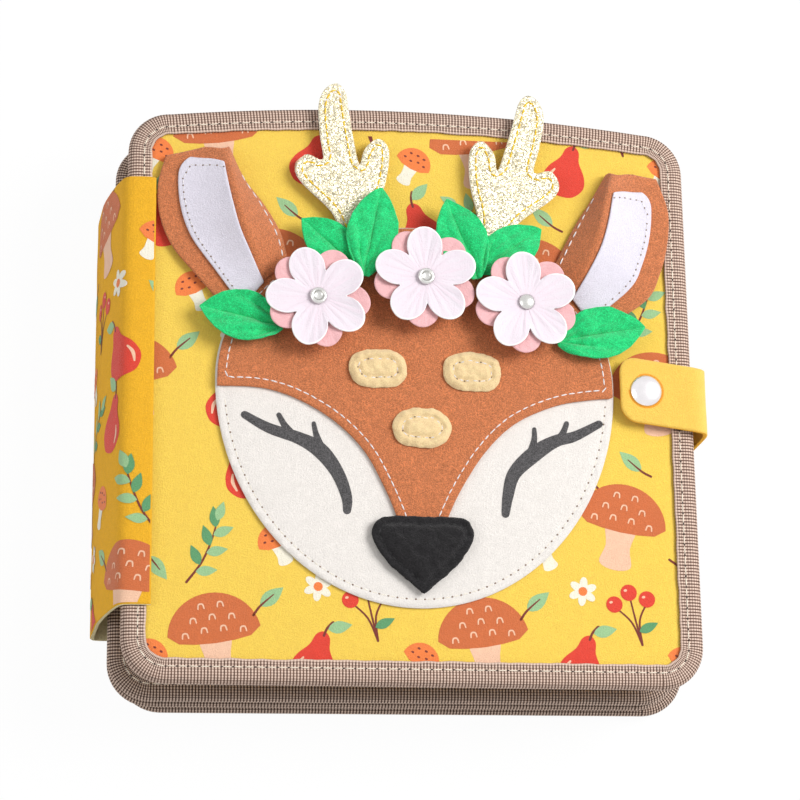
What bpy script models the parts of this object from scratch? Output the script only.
"""Felt quiet book with a deer on its front cover, closed and lying on its back cover.

The book has two covers and two pages, each a stiffened felt board in a tape binding. A felt strip joins them
at the spine and a strap with a press stud holds them shut. The deer is built up from sewn felt pieces.

Axes: +X from the spine to the opening edge, +Y up the page, +Z out of the front cover.
The origin is the middle of the back cover's outer face, which lies on the table.
"""
import math

import bmesh
import bpy
from mathutils import Matrix, Vector

MM = 0.001

# Driving sizes of the boards
BOARD_WIDTH = 214 * MM
BOARD_HEIGHT = 218 * MM
CORNER_RADIUS = 16 * MM
TOP_BOW = 3.6 * MM
BINDING_WIDTH = 9 * MM
TAPE = 0.8 * MM
FELT = 1.0 * MM
CORE = 1.4 * MM
GAP = 0.3 * MM
CORNER_STEPS = 5
BOW_STEPS = 6

# Padding: where the raised middle of a board starts, and how far it slopes
PAD_START = 12 * MM
PAD_SLOPE = 20 * MM
PAD_CORNER = 6 * MM
BACK_OUTER_PAD = 3.1 * MM
BACK_INNER_PAD = 1.0 * MM
PAGE_PAD = 1.8 * MM
PAGE_TOP_PAD = 9 * MM

# Places of the boards' middle planes above the table, and how the stack leans
BACK_LEVEL = 5.1 * MM
PAGE_2_LEVEL = 12.4 * MM
PAGE_1_LEVEL = 20.5 * MM
COVER_LEVEL = 45.9 * MM
COVER_DROP = 5 * MM
STACK_LEAN = 3.5 * MM

# Spine strip
STRIP = 1.5 * MM
STRIP_LENGTH = 163 * MM
STRIP_SEAM = 10.5 * MM
WALL_OFFSET = 8.9 * MM
WALL_LOW = 0.2 * MM
WALL_SHARES = ((0, 0), (0, 0.46), (0.22, 0.7), (0.55, 0.87), (1, 1))
WALL_LEAN_IN = 4 * MM
PAGE_HINGE_GAP = 0.6 * MM
PAGE_TAPE_OVERHANG = 0.2 * MM
PAGE_TAPE_LENGTH = 150 * MM
PAGE_EDGE_REACH = 3.4 * MM

# Closing strap and press stud
STRAP = 1.6 * MM
STRAP_LOW = 0.1 * MM
STRAP_WIDTH = 25 * MM
STRAP_REACH = 32.5 * MM
STRAP_CORNER = 6 * MM
STRAP_SKEW_SHARE = 0.13
STRAP_LIFT = 3.0 * MM
STRAP_Y = 0.5 * MM
RISER_OFFSET = 5.3 * MM
RISER_SHARES = ((0, 0), (0, 0.8), (0.4, 0.93), (1, 1))
RISER_LEAN_IN = 1.8 * MM
STRAP_ROOT_LENGTH = 12 * MM
SNAP_FROM_EDGE = 19.1 * MM
SNAP_Y = 3.4 * MM
CAP_RADIUS = 6.1 * MM
CAP_HEIGHT = 2.3 * MM
SNAP_POST = 1.4 * MM
SNAP_FLANGE = 5.3 * MM
SNAP_PLATE = 0.8 * MM
KNOB_RADIUS = 2.4 * MM
KNOB_HEIGHT = 0.7 * MM
SOCKET_RADIUS = 5.0 * MM
SOCKET_BORE = 2.9 * MM
SOCKET_HEIGHT = 1.3 * MM
SOCKET_ROOF = 0.6 * MM
TURN_STEPS = 20
HOLE_STEPS = 10

# Deer's head, lying on the front cover
HEAD_X = 1.1 * MM
HEAD_Y = 5 * MM
HEAD_MARGIN = 32 * MM
HEAD_DOME = 61 * MM
HEAD_DROP = 85.5 * MM
HEAD_STEPS = 56
FACE_FELT = 1.2 * MM
MASK_INSET = 0.6 * MM
MASK_DEPTH = 47 * MM
MASK_SHARES = (
    (1.0, 0.06), (0.8, 0.07), (0.6, 0.13), (0.46, 0.25), (0.33, 0.5), (0.21, 0.8), (0.13, 1.06), (0.11, 1.4),
)
NOSE_X = 2.3 * MM
NOSE_BASE = -75 * MM
NOSE_HALF_WIDTH = 19 * MM
NOSE_HEIGHT = 28 * MM
NOSE_SHARES = (
    (0, 0), (0.3, 0.1), (0.66, 0.38), (0.95, 0.68), (0.98, 0.86), (0.82, 0.98), (0.5, 1.0), (0, 0.99),
    (-0.5, 1.0), (-0.82, 0.98), (-0.98, 0.86), (-0.95, 0.68), (-0.66, 0.38), (-0.3, 0.1),
)
SPOT_WIDTH = 21.7 * MM
SPOT_HEIGHT = 15 * MM
SPOT_CORNER = 5.5 * MM
SPOT_PLACES = {
    "spot_left": (-13.7 * MM, 9.2 * MM),
    "spot_right": (21.8 * MM, 9.0 * MM),
    "spot_middle": (2.5 * MM, -13.2 * MM),
}
PAD_EDGE = 1.0 * MM
PAD_STEPS = ((0.9 * MM, 0.7 * MM), (1.6 * MM, 0.5 * MM), (2.6 * MM, 0.3 * MM))

# Ears: rows from the tip down, each with its outer edge, crest and seam, in shares of the head's half width
EAR_FELT = 1.2 * MM
EAR_EDGE_LIFT = 1.5 * MM
EAR_CREST = 9.5 * MM
EAR_COLUMN_SHARES = (0, 0.3, 0.6, 0.82, 1)
EAR_CURVE_SHARE = 1.6
EAR_INNER_COLUMN_SHARES = (0.36, 0.6, 0.82, 0.93)
EAR_INNER_FELT = 1.0 * MM
EAR_INNER_LIFT = 1.9 * MM
EAR_INNER_END_SHARE = 0.4
EAR_BASE_CREST_SHARE = 0.3
EAR_ROW_SHARES = {
    "ear_left": (
        ((-1.255, 1.145), (-0.96, 1.215), 0.5, (-0.925, 1.215)),
        ((-1.295, 0.985), (-0.935, 1.03), 0.85, (-0.84, 1.045)),
        ((-1.28, 0.81), (-0.9, 0.87), 1.0, (-0.765, 0.915)),
        ((-1.215, 0.655), (-0.87, 0.755), 0.95, (-0.715, 0.82)),
        ((-1.08, 0.495), (-0.82, 0.635), 0.75, (-0.675, 0.735)),
    ),
    "ear_right": (
        ((1.265, 1.13), (1.035, 1.155), 0.5, (1.0, 1.15)),
        ((1.32, 0.95), (0.99, 1.01), 0.85, (0.935, 1.01)),
        ((1.31, 0.77), (0.96, 0.88), 1.0, (0.855, 0.88)),
        ((1.26, 0.6), (0.925, 0.75), 0.95, (0.795, 0.775)),
        ((1.18, 0.46), (0.875, 0.63), 0.75, (0.745, 0.68)),
    ),
}
EAR_BASE_ANGLES = {
    "ear_left": tuple(math.radians(angle) for angle in (158, 141, 131)),
    "ear_right": tuple(math.radians(angle) for angle in (21, 36, 46)),
}
EAR_BASE_CLEARANCE = 1.2 * MM

# Antlers, in shares of the antler's height
ANTLER_FELT = 1.2 * MM
ANTLER_HEIGHT = 62 * MM
ANTLER_SHARES = (
    (-0.06, 0.0), (-0.15, 0.17), (-0.335, 0.355), (-0.365, 0.45), (-0.3, 0.53), (-0.2, 0.5),
    (-0.215, 0.655), (-0.225, 0.85), (-0.185, 0.96), (-0.11, 1.0), (-0.06, 0.95), (-0.045, 0.87),
    (-0.018, 0.69), (0.025, 0.475), (0.06, 0.58), (0.145, 0.65), (0.21, 0.57), (0.185, 0.36),
    (0.12, 0.17), (0.09, 0.0),
)
ANTLER_PLACES = {"antler_left": (-21.6 * MM, 60 * MM), "antler_right": (31.0 * MM, 60 * MM)}
ANTLER_TURNS = {"antler_left": 0, "antler_right": math.radians(-7.5)}

# Leaves: base place, direction, length, width, height above the cover and depth of the fold
LEAF_FELT = 0.9 * MM
LEAF_WIDTH_SHARES = ((0, 0.16), (0.14, 0.6), (0.36, 0.96), (0.56, 1.0), (0.78, 0.72), (0.92, 0.34), (1, 0.03))
LEAF_COLUMN_SHARES = (-1, -0.5, 0, 0.5, 1)
LEAF_FIELDS = ("x", "y", "angle", "length", "width", "level", "fold")
LEAF_SIZES = {
    "leaf_far_left": (-49 * MM, 24 * MM, math.radians(168), 32 * MM, 20 * MM, 4.4 * MM, 1.5 * MM),
    "leaf_left_outer": (-19 * MM, 45.4 * MM, math.radians(138), 31.4 * MM, 18 * MM, 4.8 * MM, 0.7 * MM),
    "leaf_left_inner": (-19.2 * MM, 44 * MM, math.radians(79), 36 * MM, 19.5 * MM, 6.7 * MM, 0.8 * MM),
    "leaf_right_inner": (23.8 * MM, 44.4 * MM, math.radians(110), 33.2 * MM, 19.5 * MM, 6.7 * MM, 0.8 * MM),
    "leaf_right_outer": (24.5 * MM, 48 * MM, math.radians(36), 30.6 * MM, 18 * MM, 4.8 * MM, 0.7 * MM),
    "leaf_far_right": (54 * MM, 21.8 * MM, math.radians(10.5), 34.8 * MM, 20.5 * MM, 4.4 * MM, 1.5 * MM),
}

# Flowers: two rings of petals that turn on a rivet
FLOWER_PLACES = {
    "flower_left": (-36.7 * MM, 34.3 * MM, math.radians(38)),
    "flower_middle": (3.8 * MM, 43.4 * MM, math.radians(20)),
    "flower_right": (41.8 * MM, 34.8 * MM, math.radians(95)),
}
PETAL_FELT = 0.9 * MM
PETAL_REACH = 18.8 * MM
PETAL_NOTCH_SHARE = 0.5
PETAL_COUNT = 5
PETAL_STEPS = 8
PETAL_POWER_SHARE = 0.45
PETAL_RING_SHARES = (0.34, 0.72, 1)
PETAL_CUP = 1.2 * MM
PETAL_LEVEL = 8.7 * MM
PETAL_TURN = math.radians(27)
RIVET_HOLE = 1.7 * MM
RIVET_POST = 1.4 * MM
RIVET_RADIUS = 3.5 * MM
RIVET_HEIGHT = 1.3 * MM
RIVET_STEPS = 16

COVER_TILT = math.atan2(COVER_DROP, BOARD_WIDTH)
SNAP_X = BOARD_WIDTH / 2 - SNAP_FROM_EDGE
HEAD_HALF_WIDTH = BOARD_WIDTH / 2 - HEAD_MARGIN
BOARD_HALF = TAPE + GAP + FELT + GAP + CORE / 2
FACE_LOW = GAP
HEAD_LOW = FACE_LOW + FACE_FELT + GAP
HEAD_TOP = HEAD_LOW + FACE_FELT
PIECE_LOW = HEAD_TOP + GAP
STRIP_LIFT = GAP + TAPE + GAP
PAGE_X = STRIP / 2 + PAGE_HINGE_GAP + PAGE_EDGE_REACH - WALL_OFFSET

COLOURS = {
    "printed_felt": (0.93, 0.55, 0.05),
    "interlining": (0.85, 0.85, 0.82),
    "lining_felt": (0.93, 0.55, 0.05),
    "page_felt": (0.86, 0.83, 0.74),
    "tape": (0.32, 0.25, 0.21),
    "brown_felt": (0.48, 0.14, 0.04),
    "cream_felt": (0.87, 0.84, 0.74),
    "white_felt": (0.8, 0.78, 0.86),
    "black_felt": (0.012, 0.012, 0.014),
    "tan_felt": (0.89, 0.56, 0.22),
    "leaf_felt": (0.02, 0.6, 0.13),
    "petal_felt": (0.92, 0.83, 0.86),
    "pink_felt": (0.94, 0.47, 0.45),
    "glitter_felt": (0.72, 0.6, 0.3),
    "strap_felt": (0.96, 0.58, 0.07),
    "steel": (0.75, 0.75, 0.76),
}


def clear_scene() -> None:
    """Remove whatever the scene holds."""
    for item in list(bpy.data.objects):
        bpy.data.objects.remove(item, do_unlink=True)


def make_collection(name: str) -> bpy.types.Collection:
    """Make a collection in the scene."""
    collection = bpy.data.collections.new(name)
    bpy.context.scene.collection.children.link(collection)
    return collection


def material(name: str, owner: str) -> bpy.types.Material:
    """Make one piece's own material in a named colour."""
    made = bpy.data.materials.new(f"{owner}_{name}")
    made.use_nodes = True
    shader = made.node_tree.nodes["Principled BSDF"]
    metal = name == "steel"
    shader.inputs["Base Color"].default_value = (*COLOURS[name], 1)
    shader.inputs["Metallic"].default_value = 1 if metal else 0
    shader.inputs["Roughness"].default_value = 0.25 if metal else 0.9
    made.diffuse_color = (*COLOURS[name], 1)
    return made


def empty(name: str, place, parent=None, tilt: float = 0) -> bpy.types.Object:
    """Make an empty that carries a body, turned about Y by tilt."""
    made = bpy.data.objects.new(name, None)
    made.location = place
    made.rotation_euler = (0, tilt, 0)
    made.parent = parent
    PARTS.objects.link(made)
    return made


def add_piece(name: str, mesh: bpy.types.Mesh, colour: str, parent, place=(0, 0, 0), turn=0):
    """Put a mesh into the scene as a named piece with its own material."""
    made = bpy.data.objects.new(name, mesh)
    made.parent = parent
    made.location = place
    made.rotation_euler = (0, 0, turn)
    made.data.materials.append(material(colour, name))
    PARTS.objects.link(made)
    return made


def finish_mesh(bm: bmesh.types.BMesh, name: str) -> bpy.types.Mesh:
    """Write a bmesh with its faces pointing out to a mesh."""
    bmesh.ops.recalc_face_normals(bm, faces=bm.faces[:])
    mesh = bpy.data.meshes.new(name)
    bm.to_mesh(mesh)
    bm.free()
    return mesh


def arc(centre, radius: float, start: float, end: float, steps: int) -> list:
    """Points on an arc, both ends included."""
    return [
        Vector((centre[0] + radius * math.cos(angle), centre[1] + radius * math.sin(angle)))
        for angle in (start + (end - start) * step / steps for step in range(steps + 1))
    ]


def circle(centre, radius: float, steps: int = HOLE_STEPS) -> list:
    """Points on a full circle."""
    return arc(centre, radius, 0, math.tau, steps)[:-1]


def rounded_rectangle(width: float, height: float, radius: float, steps: int, bow: float = 0) -> list:
    """Outline with round corners, whose top edge rises by bow in its middle."""
    across = width / 2 - radius
    up = height / 2 - radius
    points = arc((across, -up), radius, -math.pi / 2, 0, steps)
    points += arc((across, up), radius, 0, math.pi / 2, steps)
    if bow:
        for step in range(1, BOW_STEPS):
            share = 1 - 2 * step / BOW_STEPS
            points.append(Vector((across * share, height / 2 + bow * (1 - share ** 2))))
    points += arc((-across, up), radius, math.pi / 2, math.pi, steps)
    points += arc((-across, -up), radius, math.pi, 1.5 * math.pi, steps)
    return points


def board_outline(inset: float) -> list:
    """The board's outline, drawn in by inset."""
    radius = max(CORNER_RADIUS - inset, PAD_CORNER)
    return rounded_rectangle(BOARD_WIDTH - 2 * inset, BOARD_HEIGHT - 2 * inset, radius, CORNER_STEPS, TOP_BOW)


def smooth_points(points, steps: int, closed: bool = True) -> list:
    """Points on a smooth curve through the given ones."""
    given = [Vector(point) for point in points]
    count = len(given)
    made = []
    for index in range(count if closed else count - 1):
        before = given[index - 1] if closed or index else given[0]
        here = given[index]
        after = given[(index + 1) % count]
        beyond = given[(index + 2) % count] if closed else given[min(index + 2, count - 1)]
        for step in range(steps):
            share = step / steps
            made.append(0.5 * (
                2 * here
                + (after - before) * share
                + (2 * before - 5 * here + 4 * after - beyond) * share ** 2
                + (3 * here - before - 3 * after + beyond) * share ** 3
            ))
    if not closed:
        made.append(given[-1])
    return made


def plate_mesh(name: str, outlines, thickness: float) -> bpy.types.Mesh:
    """Flat plate from closed outlines, the first its rim and the others holes, standing on z = 0."""
    curve = bpy.data.curves.new(name, "CURVE")
    curve.dimensions = "2D"
    curve.fill_mode = "BOTH"
    curve.extrude = thickness / 2
    for outline in outlines:
        spline = curve.splines.new("POLY")
        spline.points.add(len(outline) - 1)
        for point, place in zip(spline.points, outline):
            point.co = (place[0], place[1], 0, 1)
        spline.use_cyclic_u = True
    holder = bpy.data.objects.new(name, curve)
    PARTS.objects.link(holder)
    bpy.context.view_layer.update()
    graph = bpy.context.evaluated_depsgraph_get()
    flat = bpy.data.meshes.new_from_object(holder.evaluated_get(graph))
    bpy.data.objects.remove(holder, do_unlink=True)
    bm = bmesh.new()
    bm.from_mesh(flat)
    bpy.data.meshes.remove(flat)
    bmesh.ops.remove_doubles(bm, verts=bm.verts[:], dist=GAP / 100)
    bmesh.ops.translate(bm, verts=bm.verts[:], vec=(0, 0, thickness / 2))
    return finish_mesh(bm, name)


def join_loops(bm: bmesh.types.BMesh, loop, after) -> None:
    """Band of faces between two closed loops with equal numbers of points."""
    for index, vert in enumerate(loop):
        beside = (index + 1) % len(loop)
        bm.faces.new((vert, loop[beside], after[beside], after[index]))


def slab_mesh(name: str, low: float, high: float, lift_low: float, lift_high: float) -> bpy.types.Mesh:
    """Board layer between two levels, whose middle is lifted on either face."""
    edge = TAPE + GAP
    middle = PAD_START + PAD_SLOPE
    places = [(middle, low + lift_low), (PAD_START, low), (edge, low)]
    places += [(edge, high), (PAD_START, high), (middle, high + lift_high)]
    bm = bmesh.new()
    loops = []
    for inset, height in places:
        loops.append([bm.verts.new((point.x, point.y, height)) for point in board_outline(inset)])
    for loop, after in zip(loops, loops[1:]):
        join_loops(bm, loop, after)
    bm.faces.new(loops[0])
    bm.faces.new(loops[-1])
    return finish_mesh(bm, name)


def ring_mesh(name: str, rings) -> bpy.types.Mesh:
    """Closed tube through rings with equal numbers of points, the last joined to the first."""
    bm = bmesh.new()
    loops = [[bm.verts.new(point) for point in ring] for ring in rings]
    for loop, after in zip(loops, loops[1:] + loops[:1]):
        join_loops(bm, loop, after)
    return finish_mesh(bm, name)


def sheet_mesh(name: str, rows) -> bpy.types.Mesh:
    """Open sheet through rows with equal numbers of points."""
    bm = bmesh.new()
    grid = [[bm.verts.new(point) for point in row] for row in rows]
    for row, after in zip(grid, grid[1:]):
        for index in range(len(row) - 1):
            bm.faces.new((row[index], row[index + 1], after[index + 1], after[index]))
    bmesh.ops.recalc_face_normals(bm, faces=bm.faces[:])
    if sum(face.normal.z for face in bm.faces) < 0:
        bmesh.ops.reverse_faces(bm, faces=bm.faces[:])
    mesh = bpy.data.meshes.new(name)
    bm.to_mesh(mesh)
    bm.free()
    return mesh


def thicken(piece: bpy.types.Object, thickness: float) -> None:
    """Give a sheet its thickness above the drawn surface."""
    solid = piece.modifiers.new("thickness", "SOLIDIFY")
    solid.thickness = thickness
    solid.offset = 1


def turned(name: str, profile, colour: str, parent, place, steps: int = TURN_STEPS):
    """Turned piece from a profile of (radius, height) points that starts and ends on the axis."""
    mesh = bpy.data.meshes.new(name)
    mesh.from_pydata([(radius, 0, height) for radius, height in profile],
                     [(index, index + 1) for index in range(len(profile) - 1)], [])
    piece = add_piece(name, mesh, colour, parent, place)
    screw = piece.modifiers.new("turn", "SCREW")
    screw.axis = "Z"
    screw.steps = steps
    screw.render_steps = steps
    screw.use_merge_vertices = True
    screw.merge_threshold = GAP / 100
    return piece


def strip_mesh(name: str, middle, thickness: float, length: float, lean) -> bpy.types.Mesh:
    """Bent strip, drawn by its section's middle line in X and Z, which leans along Y with height."""
    line = [Vector(point) for point in middle]
    sides = ([], [])
    for index, point in enumerate(line):
        ahead = line[min(index + 1, len(line) - 1)] - line[max(index - 1, 0)]
        normal = Vector((ahead.y, -ahead.x)).normalized() * thickness / 2
        sides[0].append(point + normal)
        sides[1].append(point - normal)
    section = sides[0] + sides[1][::-1]
    bm = bmesh.new()
    face = bm.faces.new([bm.verts.new((point.x, -length / 2, point.y)) for point in section])
    raised = bmesh.ops.extrude_face_region(bm, geom=[face])["geom"]
    moved = [item for item in raised if isinstance(item, bmesh.types.BMVert)]
    bmesh.ops.translate(bm, verts=moved, vec=(0, length, 0))
    for vert in bm.verts:
        vert.co.y += lean(vert.co.z)
    return finish_mesh(bm, name)


def lean_at(height: float) -> float:
    """How far the stack has leaned up the page at a height above the table."""
    return STACK_LEAN * height / COVER_LEVEL


def binding_mesh(name: str) -> bpy.types.Mesh:
    """Tape folded round a board's edge, with a round outer side."""
    outside = (
        (BINDING_WIDTH, BOARD_HALF),
        (TAPE * 2, BOARD_HALF),
        (TAPE / 2, BOARD_HALF - TAPE / 2),
        (0, BOARD_HALF - TAPE * 2),
    )
    inside = ((TAPE, BOARD_HALF - TAPE), (BINDING_WIDTH, BOARD_HALF - TAPE))
    section = list(outside) + [(inset, -height) for inset, height in reversed(outside)]
    section += [(inset, -height) for inset, height in reversed(inside)] + list(inside)
    rings = [[(point.x, point.y, height) for point in board_outline(inset)] for inset, height in section]
    return ring_mesh(name, rings)


def make_board(name: str, parent, place, colours, names, pads) -> None:
    """One stiffened felt board: top felt, core, bottom felt and binding, on its middle plane.

    colours and names go from the top felt to the bottom one, pads are the lifts of the upper and lower face.
    """
    upper, lower = pads
    core_half = CORE / 2
    felt_low = core_half + GAP
    felt_high = felt_low + FELT
    layers = (
        (names[0], colours[0], felt_low, felt_high, upper, upper),
        (names[1], "interlining", -core_half, core_half, -lower, upper),
        (names[2], colours[1], -felt_high, -felt_low, -lower, -lower),
    )
    for part, colour, low, high, lift_low, lift_high in layers:
        mesh = slab_mesh(f"{name}_{part}", low, high, lift_low, lift_high)
        add_piece(f"{name}_{part}", mesh, colour, parent, place)
    add_piece(f"{name}_binding", binding_mesh(f"{name}_binding"), "tape", parent, place)


def cover_place(x: float, y: float, height: float) -> Vector:
    """World place of a point given on the front cover's own plane."""
    return Vector((
        x * math.cos(COVER_TILT) + height * math.sin(COVER_TILT),
        STACK_LEAN + y,
        COVER_LEVEL - x * math.sin(COVER_TILT) + height * math.cos(COVER_TILT),
    ))


def wall_line(foot: Vector, head: Vector, shares) -> list:
    """Middle line of a standing strip that bends over towards its head."""
    return [
        (foot.x + (head.x - foot.x) * across, foot.y + (head.y - foot.y) * up) for across, up in shares
    ]


def outer_corner(line, thickness: float, side: int) -> Vector:
    """Place of the strip's outer corner at its head, in X and Z."""
    ahead = (Vector(line[-1]) - Vector(line[-2])).normalized()
    return Vector(line[-1]) + side * Vector((-ahead.y, ahead.x)) * thickness / 2


def make_back_cover(root) -> None:
    """Back cover, with the spine strip's rear flap and the strap's sewn end under it."""
    make_board(
        "back_cover", root, (0, 0, BACK_LEVEL), ("lining_felt", "printed_felt"), ("lining", "core", "felt"),
        (BACK_INNER_PAD, BACK_OUTER_PAD),
    )
    seam = -BOARD_WIDTH / 2 + STRIP_SEAM
    flap_end = -BOARD_WIDTH / 2 - WALL_OFFSET + STRIP / 2 + GAP
    line = ((seam, STRIP / 2), (flap_end, STRIP / 2))
    flap = strip_mesh("spine_back_flap", line, STRIP, STRIP_LENGTH, lean_at)
    add_piece("spine_back_flap", flap, "printed_felt", root, (0, 0, WALL_LOW))
    root_end = BOARD_WIDTH / 2 + RISER_OFFSET - STRAP / 2 - GAP
    line = ((BOARD_WIDTH / 2 - STRAP_ROOT_LENGTH, STRAP / 2), (root_end, STRAP / 2))
    under = strip_mesh("strap_root", line, STRAP, STRAP_WIDTH, lean_at)
    add_piece("strap_root", under, "strap_felt", root, (0, STRAP_Y, STRAP_LOW))


def make_spine(foot: Vector, head: Vector, hinge: Vector) -> None:
    """Standing part of the spine strip, between the two covers."""
    joint = empty("spine_hinge", (hinge.x, 0, hinge.y))
    wall = strip_mesh("spine_wall", wall_line(foot, head, WALL_SHARES), STRIP, STRIP_LENGTH, lean_at)
    add_piece("spine_wall", wall, "printed_felt", joint, (-hinge.x, 0, -hinge.y))


def make_page(name: str, level: float, upper_pad: float) -> None:
    """One inner page, hung on the spine by a tape."""
    hinge_x = PAGE_X - BOARD_WIDTH / 2 - PAGE_EDGE_REACH
    lean = lean_at(level)
    joint = empty(f"{name}_hinge", (hinge_x, lean, level))
    reach = PAGE_X - hinge_x
    make_board(
        name, joint, (reach, 0, 0), ("page_felt", "page_felt"), ("front_felt", "core", "rear_felt"),
        (upper_pad, PAGE_PAD),
    )
    ends = ((-PAGE_TAPE_OVERHANG, 0), (PAGE_EDGE_REACH - GAP, 0))
    tape = strip_mesh(f"{name}_hinge_tape", ends, TAPE, PAGE_TAPE_LENGTH, lambda height: 0)
    add_piece(f"{name}_hinge_tape", tape, "tape", joint)


def make_front_cover(plane) -> None:
    """Front cover's board, the spine strip's front flap and the press stud's lower half."""
    hole = circle((SNAP_X, SNAP_Y), SNAP_POST + GAP)
    outlines = [board_outline(TAPE + GAP), hole]
    level = 0
    for part, colour, thickness in (("felt", "printed_felt", FELT), ("core", "interlining", CORE),
                                    ("lining", "lining_felt", FELT)):
        level -= thickness
        name = f"front_cover_{part}"
        add_piece(name, plate_mesh(name, outlines, thickness), colour, plane, (0, 0, level))
        level -= GAP
    middle = GAP + TAPE - BOARD_HALF
    binding = binding_mesh("front_cover_binding")
    add_piece("front_cover_binding", binding, "tape", plane, (0, 0, middle))

    post_low = level
    turned("snap_stud_back", (
        (0, -GAP), (SNAP_POST, -GAP), (SNAP_POST, post_low), (SNAP_FLANGE - SNAP_PLATE, post_low),
        (SNAP_FLANGE, post_low - SNAP_PLATE), (0, post_low - 2 * SNAP_PLATE),
    ), "steel", plane, (SNAP_X, SNAP_Y, 0))
    flange_top = GAP + SNAP_PLATE
    turned("snap_stud", (
        (0, flange_top + KNOB_HEIGHT), (KNOB_RADIUS, flange_top + KNOB_HEIGHT), (KNOB_RADIUS, flange_top),
        (SNAP_FLANGE, flange_top), (SNAP_FLANGE, GAP), (0, GAP),
    ), "steel", plane, (SNAP_X, SNAP_Y, 0))


def make_front_flap(plane, wall_inside: float) -> None:
    """Part of the spine strip that is sewn along the front cover's edge."""
    seam = -BOARD_WIDTH / 2 + STRIP_SEAM
    left = wall_inside + GAP
    half = STRIP_LENGTH / 2
    outline = [(left, -half), (seam, -half), (seam, half), (left, half)]
    add_piece("spine_front_flap", plate_mesh("spine_front_flap", [outline], STRIP), "printed_felt", plane,
              (0, 0, STRIP_LIFT))


def head_point(angle: float, inset: float) -> Vector:
    """Point on the head's outline, drawn in by inset."""
    across = (HEAD_HALF_WIDTH - inset) * math.cos(angle)
    reach = (HEAD_DOME if math.sin(angle) > 0 else HEAD_DROP) - inset
    return Vector((HEAD_X + across, HEAD_Y + reach * math.sin(angle)))


def flower_holes() -> list:
    """Holes for the flowers' rivets."""
    return [circle((x, y), RIVET_HOLE) for x, y, _ in FLOWER_PLACES.values()]


def make_head(plane) -> None:
    """Cream face, brown head and mask, nose and spots."""
    face = [head_point(math.tau * step / HEAD_STEPS, 0) for step in range(HEAD_STEPS)]
    add_piece("deer_face", plate_mesh("deer_face", [face] + flower_holes(), FACE_FELT), "cream_felt", plane,
              (0, 0, FACE_LOW))

    half = HEAD_HALF_WIDTH - MASK_INSET
    steps = HEAD_STEPS // 2
    dome = [head_point(math.pi * step / steps, MASK_INSET) for step in range(steps + 1)]
    edge = [(half * across, -MASK_DEPTH * down) for across, down in MASK_SHARES]
    right = [Vector((HEAD_X + point.x, point.y)) for point in smooth_points(edge, 3, closed=False)]
    left = [Vector((2 * HEAD_X - point.x, point.y)) for point in right]
    outline = dome + left + right[::-1]
    head = plate_mesh("deer_head", [outline] + flower_holes(), FACE_FELT)
    add_piece("deer_head", head, "brown_felt", plane, (0, 0, HEAD_LOW))

    nose = smooth_points([
        (NOSE_X + NOSE_HALF_WIDTH * across, NOSE_BASE + NOSE_HEIGHT * up) for across, up in NOSE_SHARES
    ], 3)
    add_pad("nose", nose, "black_felt", plane)
    for name, (x, y) in SPOT_PLACES.items():
        outline = rounded_rectangle(SPOT_WIDTH, SPOT_HEIGHT, SPOT_CORNER, CORNER_STEPS)
        add_pad(name, [(point.x + x, point.y + y) for point in outline], "tan_felt", plane)


def add_pad(name: str, outline, colour: str, plane) -> None:
    """Padded felt piece with a low edge, drawn-in sides and a crown."""
    bm = bmesh.new()
    face = bm.faces.new([bm.verts.new((point[0], point[1], 0)) for point in outline])
    raised = bmesh.ops.extrude_face_region(bm, geom=[face])["geom"]
    top = next(item for item in raised if isinstance(item, bmesh.types.BMFace))
    bmesh.ops.translate(bm, verts=top.verts[:], vec=(0, 0, PAD_EDGE))
    for inward, rise in PAD_STEPS:
        bmesh.ops.inset_region(bm, faces=[top], thickness=inward, use_even_offset=True)
        bmesh.ops.translate(bm, verts=top.verts[:], vec=(0, 0, rise))
    add_piece(name, finish_mesh(bm, name), colour, plane, (0, 0, PIECE_LOW))


def ear_rows(name: str) -> list:
    """Rows of (outer edge, crest, seam) points from the tip down to the head's edge."""
    rows = []
    for edge, crest, height, seam in EAR_ROW_SHARES[name]:
        rows.append(tuple(
            Vector((HEAD_X + HEAD_HALF_WIDTH * place[0], HEAD_Y + HEAD_HALF_WIDTH * place[1], level))
            for place, level in ((edge, EAR_EDGE_LIFT), (crest, EAR_CREST * height), (seam, GAP))
        ))
    base = [head_point(angle, -EAR_BASE_CLEARANCE) for angle in EAR_BASE_ANGLES[name]]
    levels = (EAR_EDGE_LIFT, EAR_CREST * EAR_BASE_CREST_SHARE, GAP)
    rows.append(tuple(Vector((place.x, place.y, level)) for place, level in zip(base, levels)))
    return rows


def ear_point(row, share: float, lift: float = 0) -> Vector:
    """Point between an ear row's outer edge and its crest, on the hollow side."""
    edge, crest, _ = row
    flat = edge.lerp(crest, share)
    return Vector((flat.x, flat.y, edge.z + (crest.z - edge.z) * share ** EAR_CURVE_SHARE + lift))


def make_ear(name: str, plane) -> None:
    """Ear folded over at its crest and sewn down behind it, with a pale piece inside."""
    rows = ear_rows(name)
    outer = [
        [ear_point(row, share) for share in EAR_COLUMN_SHARES] + [row[1].lerp(row[2], 0.5), row[2]]
        for row in rows
    ]
    piece = add_piece(f"{name}_outer", sheet_mesh(f"{name}_outer", outer), "brown_felt", plane)
    thicken(piece, EAR_FELT)
    top = tuple(above.lerp(below, EAR_INNER_END_SHARE) for above, below in zip(rows[0], rows[1]))
    inner = [
        [ear_point(row, share, EAR_INNER_LIFT) for share in EAR_INNER_COLUMN_SHARES]
        for row in [top] + rows[1:]
    ]
    piece = add_piece(f"{name}_inner", sheet_mesh(f"{name}_inner", inner), "white_felt", plane)
    thicken(piece, EAR_INNER_FELT)


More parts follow.
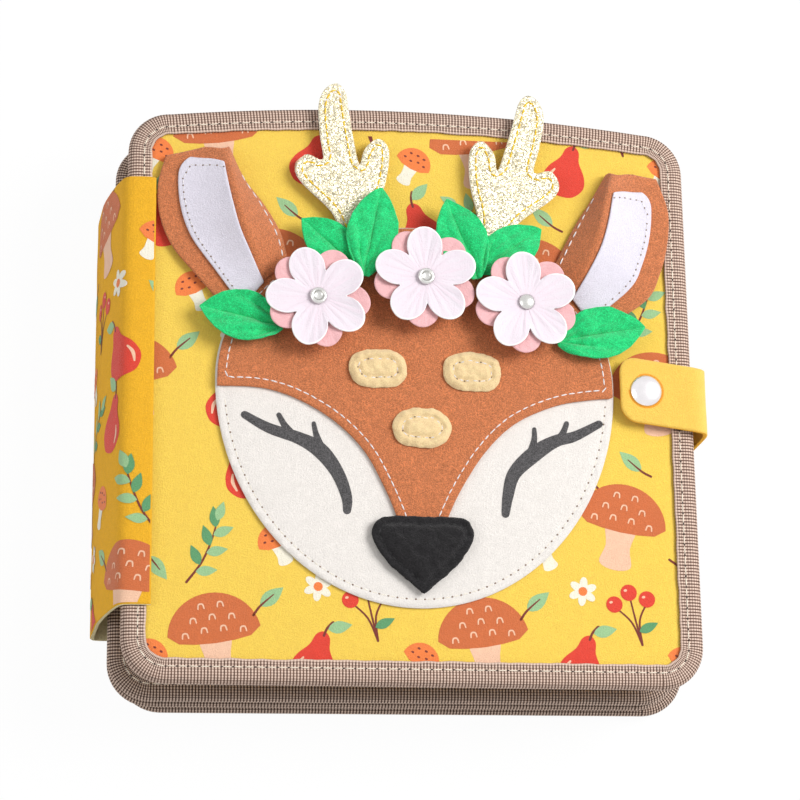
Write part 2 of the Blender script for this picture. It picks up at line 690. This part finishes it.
def make_antlers(plane) -> None:
    """Two branched antlers in glitter felt, the right one the left one's mirror image."""
    for name, (x, y) in ANTLER_PLACES.items():
        width = math.copysign(ANTLER_HEIGHT, -x)
        shape = smooth_points([(width * across, ANTLER_HEIGHT * up) for across, up in ANTLER_SHARES], 3)
        mesh = plate_mesh(name, [shape], ANTLER_FELT)
        add_piece(name, mesh, "glitter_felt", plane, (x, y, PIECE_LOW), ANTLER_TURNS[name])


def make_leaf(name: str, plane) -> None:
    """Pointed leaf with a fold along its midrib."""
    size = dict(zip(LEAF_FIELDS, LEAF_SIZES[name]))
    rows = [
        [
            (size["length"] * along, size["width"] / 2 * wide * across, size["fold"] * wide * abs(across))
            for across in LEAF_COLUMN_SHARES
        ]
        for along, wide in LEAF_WIDTH_SHARES
    ]
    piece = add_piece(name, sheet_mesh(name, rows), "leaf_felt", plane, (size["x"], size["y"], size["level"]),
                      size["angle"])
    thicken(piece, LEAF_FELT)


def petal_reach(angle: float) -> float:
    """How far a ring of petals reaches at an angle, with a notch between neighbours."""
    lobe = abs(math.cos(PETAL_COUNT * angle / 2)) ** PETAL_POWER_SHARE
    return PETAL_REACH * (PETAL_NOTCH_SHARE + (1 - PETAL_NOTCH_SHARE) * lobe)


def petals_mesh(name: str) -> bpy.types.Mesh:
    """Cupped ring of petals round a rivet hole."""
    count = PETAL_COUNT * PETAL_STEPS
    rows = []
    for step in range(count + 1):
        angle = math.tau * (step % count) / count
        reach = petal_reach(angle)
        radii = [RIVET_HOLE] + [reach * share for share in PETAL_RING_SHARES]
        rows.append([
            (radius * math.cos(angle), radius * math.sin(angle), PETAL_CUP * (radius / PETAL_REACH) ** 2)
            for radius in radii
        ])
    mesh = sheet_mesh(name, rows)
    bm = bmesh.new()
    bm.from_mesh(mesh)
    bmesh.ops.remove_doubles(bm, verts=bm.verts[:], dist=GAP / 100)
    bm.to_mesh(mesh)
    bm.free()
    return mesh


def make_flower(name: str, plane) -> None:
    """Two rings of petals that turn on a rivet through the head."""
    x, y, turn = FLOWER_PLACES[name]
    axis = empty(f"{name}_axis", (x, y, 0), plane)
    level = PETAL_LEVEL
    rings = (("petals_under", "pink_felt", turn + PETAL_TURN), ("petals_top", "petal_felt", turn))
    for part, colour, angle in rings:
        mesh = petals_mesh(f"{name}_{part}")
        piece = add_piece(f"{name}_{part}", mesh, colour, axis, (0, 0, level), angle)
        thicken(piece, PETAL_FELT)
        level += PETAL_FELT + GAP
    turned(f"{name}_rivet", (
        (0, level + RIVET_HEIGHT), (RIVET_RADIUS / 2, level + RIVET_HEIGHT),
        (RIVET_RADIUS, level + RIVET_HEIGHT / 2), (RIVET_RADIUS, level), (RIVET_POST, level),
        (RIVET_POST, GAP), (0, GAP),
    ), "steel", axis, (0, 0, 0), RIVET_STEPS)


def make_strap(foot: Vector, head: Vector, foot_hinge: Vector, head_hinge: Vector) -> None:
    """Strap's standing part, its flap over the front cover and the press stud's upper half."""
    low_joint = empty("strap_root_hinge", (foot_hinge.x, 0, foot_hinge.y))
    line = wall_line(foot, head, RISER_SHARES)
    riser = strip_mesh("strap_riser", line, STRAP, STRAP_WIDTH, lean_at)
    add_piece("strap_riser", riser, "strap_felt", low_joint, (-foot_hinge.x, STRAP_Y, -foot_hinge.y))

    top_joint = empty("strap_top_hinge", (head_hinge.x, 0, head_hinge.y), tilt=COVER_TILT)
    origin = cover_place(0, 0, 0) - Vector((head_hinge.x, 0, head_hinge.y))
    local = Matrix.Rotation(-COVER_TILT, 3, "Y") @ origin
    flap_plane = empty("strap_flap_plane", local, top_joint)
    right = head.x - STRAP / 2 - GAP
    left = right - STRAP_REACH
    half = STRAP_WIDTH / 2
    inner = left + STRAP_CORNER
    corners = arc((inner, half - STRAP_CORNER), STRAP_CORNER, math.pi / 2, math.pi, CORNER_STEPS)
    corners += arc((inner, STRAP_CORNER - half), STRAP_CORNER, math.pi, 1.5 * math.pi, CORNER_STEPS)
    outline = [
        (point[0], STRAP_Y + point[1] + STRAP_SKEW_SHARE * (right - point[0]))
        for point in corners + [Vector((right, -half)), Vector((right, half))]
    ]
    hole = circle((SNAP_X, SNAP_Y), SNAP_POST + GAP)
    add_piece("strap_flap", plate_mesh("strap_flap", [outline, hole], STRAP), "strap_felt", flap_plane,
              (0, 0, STRAP_LIFT))

    cap_low = STRAP_LIFT + STRAP + GAP
    dome = [
        (CAP_RADIUS * math.sin(angle), cap_low + CAP_HEIGHT * math.cos(angle))
        for angle in (math.pi / 2 * step / CORNER_STEPS for step in range(CORNER_STEPS + 1))
    ]
    post = [(SNAP_POST, cap_low), (SNAP_POST, STRAP_LIFT), (0, STRAP_LIFT)]
    turned("snap_cap", dome + post, "steel", flap_plane, (SNAP_X, SNAP_Y, 0))
    socket_top = STRAP_LIFT - GAP
    socket_low = socket_top - SOCKET_HEIGHT
    turned("snap_socket", (
        (0, socket_top), (SOCKET_RADIUS, socket_top), (SOCKET_RADIUS, socket_low), (SOCKET_BORE, socket_low),
        (SOCKET_BORE, socket_top - SOCKET_ROOF), (0, socket_top - SOCKET_ROOF),
    ), "steel", flap_plane, (SNAP_X, SNAP_Y, 0))


def main() -> None:
    """Build the whole book."""
    root = empty("back_cover_middle", (0, 0, 0))
    make_back_cover(root)

    spine_x = -BOARD_WIDTH / 2 - WALL_OFFSET
    spine_foot = Vector((spine_x, WALL_LOW))
    spine_top = cover_place(spine_x + WALL_LEAN_IN, 0, STRIP_LIFT + STRIP)
    spine_head = Vector((spine_top.x, spine_top.z))
    spine_line = wall_line(spine_foot, spine_head, WALL_SHARES)
    make_spine(spine_foot, spine_head, Vector((spine_x - STRIP / 2, WALL_LOW)))

    make_page("page_1", PAGE_1_LEVEL, PAGE_TOP_PAD)
    make_page("page_2", PAGE_2_LEVEL, PAGE_PAD)

    corner = outer_corner(spine_line, STRIP, 1)
    cover_joint = empty("front_cover_hinge", (corner.x, 0, corner.y), tilt=COVER_TILT)
    local = Matrix.Rotation(-COVER_TILT, 3, "Y") @ (cover_place(0, 0, 0) - Vector((corner.x, 0, corner.y)))
    plane = empty("front_cover_plane", local, cover_joint)
    make_front_cover(plane)
    make_front_flap(plane, spine_x + WALL_LEAN_IN + STRIP / 2)
    make_head(plane)
    for name in EAR_ROW_SHARES:
        make_ear(name, plane)
    make_antlers(plane)
    for name in LEAF_SIZES:
        make_leaf(name, plane)
    for name in FLOWER_PLACES:
        make_flower(name, plane)

    riser_x = BOARD_WIDTH / 2 + RISER_OFFSET
    riser_foot = Vector((riser_x, STRAP_LOW))
    riser_top = cover_place(riser_x - RISER_LEAN_IN, 0, STRAP_LIFT + STRAP)
    riser_head = Vector((riser_top.x, riser_top.z))
    riser_line = wall_line(riser_foot, riser_head, RISER_SHARES)
    riser_root = Vector((riser_x + STRAP / 2, STRAP_LOW))
    make_strap(riser_foot, riser_head, riser_root, outer_corner(riser_line, STRAP, -1))


clear_scene()
PARTS = make_collection("quiet_book")
main()
